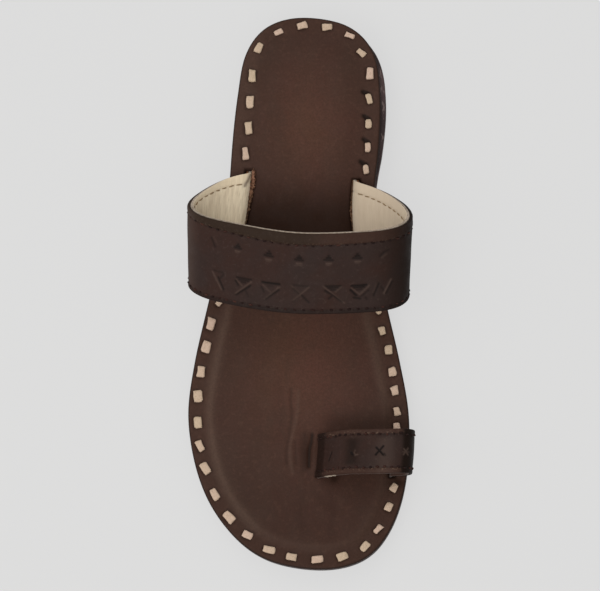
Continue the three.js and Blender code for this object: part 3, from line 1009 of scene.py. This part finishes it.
def heel():
    top = HEEL_LIFT - LAYER_GAP
    rim = 0.7
    lift = top / 3  # the heel is a stack of three layers
    rows = [(top, rim), (top - 0.1, 0.35), (top - 0.3, 0.1), (top - rim, 0.0)]
    for seam in (2 * lift, lift):
        rows += [(seam + 0.35, 0.0), (seam + 0.12, 0.1), (seam, 0.28), (seam - 0.12, 0.1), (seam - 0.35, 0.0)]
    rows += [(rim, 0.0), (0.3, 0.12), (0.1, 0.35), (0.0, rim)]
    points = []
    dark = []
    under = []
    for z, inset in rows:
        loop = heel_loop(inset + HEEL_TAPER * (1 - z / top))
        points.append(np.column_stack([loop, np.full(len(loop), z)]))
        dark.append(np.full(len(loop), 0.9 if 0.2 < inset < 0.3 else 0.0))
        under.append(np.full(len(loop), float(z < 0.05)))
    faces = loop_tube(index_loops(len(points[0]), len(rows)))
    paint = edge_leather("heel_leather", tone(38, 28, 25), tone(54, 41, 36), 0.6, 0.16)
    marks = {"dark": np.concatenate(dark), "under": np.concatenate(under)}
    made = make_object("heel_stack", np.vstack(points), faces, paint, marks)
    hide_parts("heel")


def stitch_outline(turn, square):
    """A ragged square with rounded corners, reaching one from its middle."""
    bumps = [(k, rng.uniform(0.01, 0.035), rng.uniform(0, 6)) for k in (3, 5, 7, 9)]
    ragged = 1 + sum(rise * np.sin(k * turn + shift) for k, rise, shift in bumps)
    sides = [np.sign(way) * np.abs(way) ** square for way in (np.cos(turn), np.sin(turn))]
    return np.stack(sides, -1) * ragged[:, None]


def lace():
    """Short stitches of pale rawhide lace all around the footbed's margin, in one mesh."""
    shares = [0.0, 0.25, 0.5, 0.7, 0.84, 0.93, 1.0]
    turn = np.linspace(0, 2 * np.pi, 32, endpoint=False)
    points = []
    faces = []
    marks = {"tone": [], "rim": []}
    for at, inset, length, width, turned in LACE:
        edge, ahead, inward = (v[0] for v in edge_frame(np.array([angle_of(at)])))
        narrow, bow, skew, notch = rng.uniform(-1, 1, 4) * (0.16, 0.08, 0.08, 0.16) - (0, 0, 0, 0.08)
        shade = rng.uniform(0, 1)
        first = len(points)
        square = rng.uniform(0.28, 0.42) + 0.2 * (OPEN_HOLES[0] < at < OPEN_HOLES[1])
        unit = stitch_outline(turn, square)
        local = [(0.0, 0.0, 0.0)]
        local += [(s * u, s * v, s) for s in shares[1:] for u, v in unit]
        local += [(u * 0.98, v * 0.98, 1.3) for u, v in unit]
        u, v, share = np.array(local).T
        sway = narrow * u * v + notch * (1 - u * u) * np.sign(v) * np.abs(v) ** 2
        length, width = length * LACE_FULLNESS, width * LACE_FULLNESS
        u, v = u * length / 2, v * width / 2
        v = v + sway * width / 2 + skew * u * 0.7
        u = u + bow * v * np.abs(v)
        cos, sin = np.cos(np.radians(turned)), np.sin(np.radians(turned))
        u, v = u * cos - v * sin, u * sin + v * cos
        xy = edge + np.outer(u, ahead) + np.outer(inset + v, inward)
        along = HEEL_BACK - xy[:, 1]
        dome = np.sqrt(np.clip(1 - share**6, 0, 1))
        lumps = 0.09 * np.sin(u * 2.3 + shade * 9) * np.cos(v * 2.1 + shade * 5)
        height = LACE_THICKNESS * dome - LACE_SUNK - 0.3 * np.abs(u / length * 2) ** 4 + lumps * dome
        height = np.where(share > 1, -1.0, height)
        z = footbed_base(along, inset + v) + height
        points += np.column_stack([xy, z]).tolist()
        count = len(turn)
        rings = index_loops(count, len(shares), first + 1)
        faces += [(first, rings[0][i], rings[0][(i + 1) % count]) for i in range(count)]
        for a, b in zip(rings[:-1], rings[1:]):
            faces += strip(a, b, flip=True)
        faces.append(tuple(rings[-1][::-1]))
        marks["tone"] += [shade] * len(local)
        marks["rim"] += smooth((share - 0.9) / 0.1).tolist()
    make_object("lace_stitches", points, faces, lace_leather(), marks)


# Strap pieces

def wall_profile(start, end, outer, inner, radius, spacing):
    """A closed section of a strap's layer: width from the back edge and depth under the outer face.

    The side at the outer depth gets the finer points.
    """
    curl = np.radians(np.arange(11.25, 90, 22.5))
    radius = min(radius, (inner - outer) / 2)
    face = np.linspace(start + radius, end - radius, int((end - start) / spacing))
    back = np.linspace(end - radius, start + radius, int((end - start) / (4 * spacing)))
    loop = [(w, outer) for w in face]
    loop += [(end - radius + radius * np.sin(a), outer + radius * (1 - np.cos(a))) for a in curl]
    loop += [(end - radius + radius * np.cos(a), inner - radius * (1 - np.sin(a))) for a in curl]
    loop += [(w, inner) for w in back]
    loop += [(start + radius - radius * np.sin(a), inner - radius * (1 - np.cos(a))) for a in curl]
    loop += [(start + radius - radius * np.cos(a), outer + radius * (1 - np.sin(a))) for a in curl]
    return np.array(loop)


def dense_inside(profile, spacing):
    """Adds points to a section's long sides, where the lining shows."""
    out = []
    for a, b in zip(profile, np.roll(profile, -1, axis=0)):
        parts = max(int(round(abs(b[0] - a[0]) / spacing)), 1)
        out += [mix(a, b, k / parts) for k in range(parts)]
    return np.array(out)


def strap_layer(name, face, profile, spacing, relief, paint, node=None):
    """A closed layer of a strap. Relief gives heights and marks by place, width and depth."""
    around = np.linspace(face.first, face.last, int((face.last - face.first) / spacing))
    around_grid, width = np.meshgrid(around, profile[:, 0], indexing="ij")
    depth = np.broadcast_to(profile[:, 1], width.shape)
    point, _, out = face.frame(around_grid, width)
    height, marks = relief(around_grid, width, depth)
    points = (point + out * (height - depth)[..., None]).reshape(-1, 3)
    faces = loop_tube(index_loops(len(profile), len(around)), flip=False)
    marks = {key: value.ravel() for key, value in marks.items()}
    marks["around"] = around_grid.ravel()
    marks["width"] = width.ravel()
    made = make_object(name, points, faces, paint, marks)
    if node:
        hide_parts(node)


# Strokes of the hand stamps, from the stamp's middle, and how hard each is struck. A ridge
# between strokes, worn and with a painted highlight, has a force under nothing.
WEDGE = [((-3.9, -3.8), (3.9, -3.8), 0.7), ((-2.6, -2.9), (2.6, -2.9), 0.7), ((-1.1, -1.9), (1.1, -1.9), 0.6)]
BENT = [
    ((-3.7, -3.5), (2.1, 4.2), -0.8),
    ((-0.4, -1.4), (3.2, 3.9), 0.7),
    ((-3.2, -4.4), (2.1, -4.2), 0.35),
    ((2.3, -3.4), (0.6, -0.6), 0.45),
]
CROSSED_WEDGE = WEDGE + [
    ((-4.2, -2.8), (-0.4, 0), -0.6),
    ((4.2, -2.8), (-3.5, 4.6), -0.9),
    ((3.9, -0.7), (-3.2, 5.1), 0.8),
    ((-4.4, -2.1), (-2.8, 0), 0.7),
    ((1.4, 1.8), (3.2, 4.9), 0.35),
]
BARRED = [
    ((-4.2, -3.5), (4.2, -3.5), 1.0),
    ((-3.9, -2.3), (0, 0.7), -0.5),
    ((4.4, -2.1), (-2.5, 4.6), -0.7),
    ((4.0, -0.7), (-2.1, 4.6), 0.8),
    ((-4.5, -1), (-3.2, 1), 0.45),
    ((-1.0, -2.1), (1.0, -2.1), 0.3),
]
CROSS = [
    ((-3.4, -4.2), (4.2, -3.8), 0.35),
    ((4.4, -3.4), (-3.1, 3.6), -0.75),
    ((-4.2, -3.8), (0, 0), -0.45),
    ((-3.1, -2.3), (-0.6, 0), 0.5),
    ((1.1, 1.1), (4.2, 4.6), 0.55),
    ((-0.4, 1.3), (-3.0, 4.2), 0.35),
]
CROSSED = WEDGE + [
    ((-4.6, -3.8), (5.0, 5.2), -0.8),
    ((4.0, -3.4), (1.1, -0.8), -0.6),
    ((-4.0, -1.5), (-0.4, 0.8), 0.7),
    ((-0.4, 0.8), (4.0, 4.4), 0.9),
    ((-0.4, 1.1), (-2.3, 2.7), 0.6),
]
CHECK = [
    ((-3.8, -2.7), (3.4, -2.9), 0.9),
    ((-2.7, -1.9), (2.3, -2.1), 0.8),
    ((-1.5, -0.8), (1.1, -1.0), 0.5),
    ((-3.8, -1.7), (-0.2, 1.7), -0.7),
    ((-0.2, 1.7), (4.6, -2.5), -0.8),
    ((-4.4, -0.8), (-1.9, 2.1), 0.9),
    ((-3.1, 3.1), (0, 3.8), 0.7),
    ((0.4, 2.9), (4.2, 0), 0.4),
    ((2.5, 3.4), (3.1, 4.2), 0.5),
]
SLASHES = [
    ((2.9, -4), (-1, 2.3), -1.0),
    ((3.5, -2.5), (0.4, 2.4), 0.5),
    ((-3.3, -2.7), (-6.1, 2.7), 0.6),
    ((-4.6, -2.7), (-6.3, 1.2), -0.3),
    ((-2.3, -1.1), (-0.8, 0.8), 0.4),
]
NICK = [((-0.9, -0.8), (1.3, 3.2), 0.5), ((0.4, -1.2), (2.6, 1.6), -0.3)]
DROP = [
    ((-2.0, 0.9), (1.9, 1.1), 0.7),
    ((-0.9, 0), (0.9, 0), 0.9),
    ((-0.2, -1.0), (0.2, -1.0), 0.7),
    ((-1.1, 2.6), (1.2, 2.7), -0.9),
    ((-0.9, 3.3), (0.6, 3.4), -0.6),
]
ARC = [((-1.5, 1.6), (0.4, 0), 0.5), ((0.4, 0), (2.7, -0.8), 0.4), ((-0.6, 2.4), (1.6, 1.0), -0.4)]

# The stamps on the strap: place around it, width from its back edge, strokes and size
STAMPS = [
    (-51.3, 29.2, BENT, 1.0),
    (-38.0, 29.4, CROSSED_WEDGE, 0.95),
    (-24.2, 29.4, BARRED, 1.0),
    (-10.0, 29.6, CROSS, 0.95),
    (5.6, 29.6, CROSSED, 0.95),
    (18.2, 29.0, CHECK, 1.0),
    (31.0, 28.8, SLASHES, 1.0),
    (-56.0, 10.0, NICK, 1.0),
    (-42.7, 10.6, DROP, 0.9),
    (-26.2, 11.4, DROP, 1.1),
    (-10.7, 12.0, DROP, 1.0),
    (3.8, 11.9, DROP, 1.0),
    (17.7, 11.5, DROP, 1.0),
    (30.1, 10.8, ARC, 1.0),
]


def stroke_relief(u, v, u0, v0, strokes, size):
    """The height of a stamp's strokes and ridges, the strokes' darkness, partly pressed leather and partly
    painted shade, and the ridges' painted highlights.
    """
    height = np.zeros_like(u)
    dark = np.zeros_like(u)
    pale = np.zeros_like(u)
    near = (np.abs(u - u0) < 9) & (np.abs(v - v0) < 9)
    du, dv = (u[near] - u0) / size, (v[near] - v0) / size
    for (a, b), (c, d), force in strokes:
        way = line_way(du, dv, a, b, c, d)
        if force > 0:
            height[near] = np.minimum(height[near], -0.36 * force * hill(way, 0.85))
            dark[near] = np.maximum(dark[near], min(1.15 * force, 1) * hill(way, 0.82))
    for (a, b), (c, d), force in strokes:
        way = line_way(du, dv, a, b, c, d)
        if force < 0:
            ridge = -force * hill(way, 0.7)
            height[near] += 0.2 * ridge
            dark[near] *= 1 - 0.7 * np.minimum(ridge, 1)
            pale[near] = np.maximum(pale[near], 0.42 * ridge)
    return height, dark, pale


def strike(stamps, height, around, width):
    """Presses stamps into a face's heights, and returns how dark they leave it, partly with painted shade,
    and their painted highlights.
    """
    dark = np.zeros_like(width)
    pale = np.zeros_like(width)
    for stamp in stamps:
        rise, shade, light = stroke_relief(around, width, *stamp)
        height += rise
        dark = np.maximum(dark, shade)
        pale = np.maximum(pale, light)
    return dark, pale


def seam_relief(ways, around, pitch, hem=0.16):
    """A sewn groove along each line, pinched at every hole, and a soft hem outside it."""
    height = np.zeros_like(around)
    for way in ways:
        hole = hill(np.hypot(way, (around / pitch - np.round(around / pitch)) * pitch), 0.8)
        height += hem * hill(way + 1.7, 2.0) - 0.2 * hill(way, 0.8) - 0.16 * hole
    return height


# The instep strap's back seam: place around the strap, and width from its back edge
BACK_SEAM_TURNS = [
    (-122, 5.4), (-104, 4.2), (-86, 2.8), (-68, 3.5), (-44, 5.0), (-11, 5.8),
    (22, 5.5), (64, 5.7), (105, 5.2),
]
BACK_SEAM = fine_curve(BACK_SEAM_TURNS)
INSTEP_FRONT_SEAM = 37.9
SEAM_END = (-116.5, 0.9, -114.6, 6.0)  # the seam's last stitch, across the lining beside the lateral slot
RING_BACK_SEAM = 2.6
RING_FRONT_SEAM = 18.9
INSTEP_PITCH = 4.15
RING_PITCH = 3.4
INNER_THICKNESS = 0.3  # of the thread that shows on the lining
LEATHER_PART = 0.52  # the share of a strap's wall that is the outer leather


def instep_seams(around):
    """The widths from the back edge at which the strap's two seams run."""
    return np.interp(around, *np.array(BACK_SEAM).T), np.full_like(around, INSTEP_FRONT_SEAM)


def ring_seams(around):
    return np.full_like(around, RING_BACK_SEAM), np.full_like(around, RING_FRONT_SEAM)


def seam_ways(seams, around, width):
    """The distances from each seam, positive towards the strap's middle."""
    back, front = seams(around)
    return width - back, front - width


def end_way(face, around):
    """The way along a strap from the nearer of its ends."""
    return np.minimum(around - face.first, face.last - around)


def instep_relief(face):
    def relief(around, width, depth):
        outside = depth < 0.4
        ways = seam_ways(instep_seams, around, width)
        height = seam_relief(ways, around + INSTEP_PITCH / 2, INSTEP_PITCH)
        dark, pale = strike(STAMPS, height, around, width)
        height += 0.16 * np.sin(around / 8.6 + 0.6) * np.sin(width / 9 + around / 31)
        height += 0.07 * np.sin(around / 3.1 + width / 7) * np.sin(width / 4.3 - around / 17)
        hems = smooth(-ways[0] / 0.5)
        in_seam = np.maximum(hill(ways[0], 0.6), hill(ways[1], 0.6))
        front_hem = smooth(-ways[1] / 0.4 + 0.5)
        raw = (1 - outside) * (width < 1.2) * (1 - smooth((end_way(face, around) - 14) / 16))
        marks = {
            # the stamps, painted shade in the seam grooves, and the dark front hem
            "dark": np.maximum.reduce([dark, 0.25 * in_seam, 0.5 * front_hem]) * outside,
            # the stamps' ridges, and a painted sheen on the strap's lateral side
            "pale": np.maximum(pale, 0.3 * hill(around + 72, 8)) * outside,
            "hem": hems * (1 - raw),
            "raw": 0.9 * raw,
            "ruddy": 0.8 * smooth((around + 12) / 20),
            "frayed": 0.35 * hill(ways[0] + 0.6, 0.9) + 0.2 * hill(ways[1] + 0.6, 0.9),
            # painted shade on the strap's medial side
            "turned": smooth((around - 20) / 32),
        }
        return np.where(outside, height, 0), marks

    return relief


RING_CROSS = [((-2.3, -2.1), (2.3, 2.6), 1.0), ((2.0, -2.9), (-2.4, 2.4), 1.0), ((2.8, 1.8), (3.5, 2.9), 0.5)]
RING_SLASH = [((1.2, -2.2), (-1.0, 2.2), 0.6)]
RING_HOOK = [
    ((-2.4, 0.2), (-1.4, 1.4), 1.0),
    ((-0.1, -1.3), (-0.6, 0.4), -0.7),
    ((-0.6, 0.4), (0.2, 1.7), -0.9),
    ((0.2, 1.7), (1.6, 1.3), -1.2),
]
RING_STAR = [
    ((-1.5, 1.9), (1.3, -2.0), -1.1),
    ((-1.4, -1.6), (1.5, 2.0), -1.1),
    ((-1.9, 0.2), (1.9, 0.2), -0.8),
]
RING_MARKS = [
    (-34.3, 12.4, RING_SLASH, 0.9),
    (-18.3, 11.4, RING_HOOK, 0.8),
    (-6.4, 10.8, RING_CROSS, 0.78),
    (6.5, 11.2, RING_STAR, 0.8),
]
RING_BENDS = [(-20.2, 0.24), (-11.8, -0.2), (0.4, 0.26), (4.8, -0.18)]


def ring_relief(around, width, depth):
    outside = depth < 0.4
    ways = seam_ways(ring_seams, around, width)
    height = seam_relief(ways, around + RING_PITCH / 2, RING_PITCH, 0.18)
    dark, pale = strike(RING_MARKS, height, around, width)
    for place, rise in RING_BENDS:
        height += rise * hill(around - place - 0.06 * (width - 11), 3.0)
    hems = np.maximum(smooth(-ways[0] / 0.5), smooth(-ways[1] / 0.5))
    in_seam = np.maximum(hill(ways[0], 0.5), hill(ways[1], 0.5))
    # Painted shade at the ring's lateral end, across its bend and on its medial end
    far_end_shade = smooth((around + 48) / 1.6) * (1 - smooth((around + 41.2) / 2.4))
    # A painted highlight across the ring's crest
    lighter = hill(around + 4, 6) * smooth((width - 3) / 3)
    shade = hill(around + 20, 5) * smooth((width - 3) / 3) * (1 - smooth((width - 16) / 3))
    marks = {
        # the stamps, and painted shade in the seam grooves
        "dark": np.maximum(dark * 1.3, 0.3 * in_seam) * outside,
        "pale": np.maximum(pale, 0.22 * lighter) * outside,
        "hem": 0.9 * np.maximum(hems * smooth((around + 40) / 3), 1 - smooth((around + 49) / 3)),
        "raw": np.zeros_like(width),
        "ruddy": np.ones_like(width),
        "frayed": 0.75 * hill(ways[0] + 0.7, 1.1) + 0.75 * hill(ways[1] + 0.7, 1.1),
        "turned": np.maximum.reduce([smooth((around - 3.4) / 2.6), 0.6 * far_end_shade, 0.75 * shade]),
    }
    return np.where(outside, height, 0), marks


def lining_relief(seams, pitch, shown=None, last_stitch=None):
    """The lining's relief. Its front edge is painted dark, as shade, except in the stretch that is shown
    pale, if one is given.
    """
    def relief(around, width, depth):
        inside = depth > depth.max() - 0.2
        ways = seam_ways(seams, around, width)
        height = seam_relief(ways, around + pitch / 2, pitch, 0.0)
        in_seam = np.maximum(hill(ways[0], 0.5), hill(ways[1], 0.5))
        hems = np.maximum(smooth(-ways[0] / 0.6), smooth(-ways[1] / 0.6))
        # Painted shade in the seam's groove
        dark = 0.12 * in_seam * inside
        if shown is not None:
            seen = smooth((around - shown[0]) / 2) * (1 - smooth((around - shown[1]) / 3))
            dark = np.maximum(dark, smooth((width - 17) / 2) * (1 - seen))
            height += 0.7 * seen * smooth((width - 19) / 2) * (0.6 + 0.4 * np.sin(around * 1.9))
        if last_stitch is not None:
            dark = np.maximum(dark, 0.8 * hill(line_way(around, width, *last_stitch), 0.9) * inside)
        # The lining on the medial side is painted darker, as shade
        medial = 0.7 * smooth((around - 40) / 30)
        marks = {"dark": dark, "hem": hems * inside, "rim": 1.0 - inside, "medial": medial}
        return np.where(inside, -height, 0), marks

    return relief


def seam_thread(name, face, seams, pitch, length, thickness, stray):
    """Short dashes of thread along both seams, on the outer face and finer ones on the lining."""
    steps = np.linspace(-1, 1, 7)
    ring = np.linspace(0, 2 * np.pi, 6, endpoint=False)
    sides = ((0, 1, thickness), (face.strap["wall"], -1, INNER_THICKNESS))
    first = int(np.ceil((face.first + 6) / pitch))
    last = int(np.floor((face.last - 6) / pitch))
    points = []
    faces = []
    inner = []
    faded = []
    for line, depth, side, radius in [(k, *run) for k in (0, 1) for run in sides]:
        for n in range(first, last + 1):
            middle = n * pitch + rng.uniform(-0.2, 0.2)
            off, slant, fade = rng.uniform(-1, 1, 3) * (stray, 0.2 + stray / 2, 1)
            reach = length * (rng.uniform(0.26, 0.44) if side > 0 else 0.55)
            around = middle + steps * reach
            widths = seams(around)[line] + (off if side > 0 else 0) + slant * steps
            centre, _, out = face.frame(around, widths)
            lift = 0.02 - 0.4 * np.abs(steps) ** 2.6
            centre = centre - out * depth + out * (side * lift)[:, None]
            ahead = np.gradient(centre, axis=0)
            ahead /= np.linalg.norm(ahead, axis=1, keepdims=True)
            across = np.cross(ahead, out)
            thin = radius * np.sqrt(np.clip(1.08 - steps**4, 0.05, 1))
            start = len(points)
            for c, o, a, r in zip(centre, out, across, thin):
                points += [tuple(c + r * (np.cos(t) * o + np.sin(t) * a)) for t in ring]
            faces += loop_tube(index_loops(len(ring), len(steps), start))
            inner += [float(side < 0)] * (len(points) - start)
            faded += [max(fade, 0)] * (len(points) - start)
    make_object(name, points, faces, THREAD, {"inner": inner, "faded": faded})


THREAD = thread()
STRAP_PAINT = strap_leather()
LINING_PAINT = lining_leather()


def instep_strap():
    face = StrapFace(INSTEP)
    wall = INSTEP["wall"]
    split = wall * LEATHER_PART
    outer = wall_profile(0, INSTEP["width"], 0, split, 0.75, 0.36)
    relief = instep_relief(face)
    strap_layer("instep_leather", face, outer, 0.36, relief, STRAP_PAINT, "instep_strap")
    inner = dense_inside(wall_profile(-0.12, INSTEP["width"] + 0.05, split - 0.05, wall, 0.25, 1.4), 0.5)
    relief = lining_relief(instep_seams, INSTEP_PITCH, last_stitch=SEAM_END)
    strap_layer("instep_lining", face, inner, 0.5, relief, LINING_PAINT)
    seam_thread("instep_thread", face, instep_seams, INSTEP_PITCH, 2.8, 0.42, 0.12)


def toe_ring():
    face = StrapFace(RING)
    wall = RING["wall"]
    split = wall * LEATHER_PART
    outer = wall_profile(0, RING["width"], 0, split, 0.6, 0.32)
    strap_layer("ring_leather", face, outer, 0.32, ring_relief, STRAP_PAINT, "toe_ring")
    inner = dense_inside(wall_profile(0.1, RING["width"] + 0.1, split - 0.05, wall, 0.4, 1.4), 0.7)
    relief = lining_relief(ring_seams, RING_PITCH, shown=(-40.5, -32))
    strap_layer("ring_lining", face, inner, 0.6, relief, LINING_PAINT)
    seam_thread("ring_thread", face, ring_seams, RING_PITCH, 2.5, 0.56, 0.42)


# Floor, light and camera

def floor():
    size = 4.0
    steps = np.linspace(-size, size, 9)
    points = [(x, y, -0.00002) for y in steps for x in steps]
    faces = [(i + 9 * j, i + 1 + 9 * j, i + 10 + 9 * j, i + 9 + 9 * j) for j in range(8) for i in range(8)]
    mesh = bpy.data.meshes.new("floor")
    mesh.from_pydata(points, [], faces)
    mesh.materials.append(floor_paper())
    made = bpy.data.objects.new("floor", mesh)
    bpy.context.scene.collection.objects.link(made)


def soft_light(name, place, aim, size, power, colour):
    light = bpy.data.lights.new(name, "AREA")
    light.shape = "RECTANGLE"
    light.size, light.size_y = size
    light.energy = power
    light.color = colour
    made = bpy.data.objects.new(name, light)
    made.location = place
    made.rotation_euler = (Vector(aim) - Vector(place)).to_track_quat("-Z", "Y").to_euler()
    bpy.context.scene.collection.objects.link(made)


def lights():
    world = bpy.data.worlds.new("studio")
    world.use_nodes = True
    world.node_tree.nodes["Background"].inputs["Color"].default_value = (1.0, 0.99, 0.97, 1.0)
    world.node_tree.nodes["Background"].inputs["Strength"].default_value = 0.62
    bpy.context.scene.world = world
    middle = (0, -0.1, 0.02)
    soft_light("key", (-0.35, -0.85, 1.4), middle, (1.5, 1.3), 13, (1.0, 0.98, 0.95))
    soft_light("fill", (-0.35, 0.55, 1.5), middle, (1.4, 1.2), 7, (1.0, 1.0, 0.98))
    soft_light("side", (-1.4, -0.3, 0.6), middle, (0.9, 1.4), 3, (0.96, 0.98, 1.0))


def camera():
    """Above the sandal, leaning a little towards its toe and its inner side, as in the photograph."""
    aim = Vector((-5.2, -105.23, 12)) * MM
    back = Vector((np.tan(np.radians(3.3)), -np.tan(np.radians(12)), 1.0)).normalized()
    data = bpy.data.cameras.new("camera")
    data.sensor_fit = "HORIZONTAL"
    data.sensor_width = 36.0
    data.lens = 137.96
    made = bpy.data.objects.new("camera", data)
    across = Vector((0, 1, 0)).cross(back).normalized()
    up = back.cross(across)
    turn = Matrix((across, up, back)).transposed().to_4x4()
    made.matrix_world = Matrix.Translation(aim + back * 1.15) @ turn
    bpy.context.scene.collection.objects.link(made)
    bpy.context.scene.camera = made


camera()
lights()
floor()
footbed()
slot_lips()
outsole()
heel()
lace()
instep_strap()
toe_ring()
bpy.context.scene.view_settings.view_transform = "Standard"
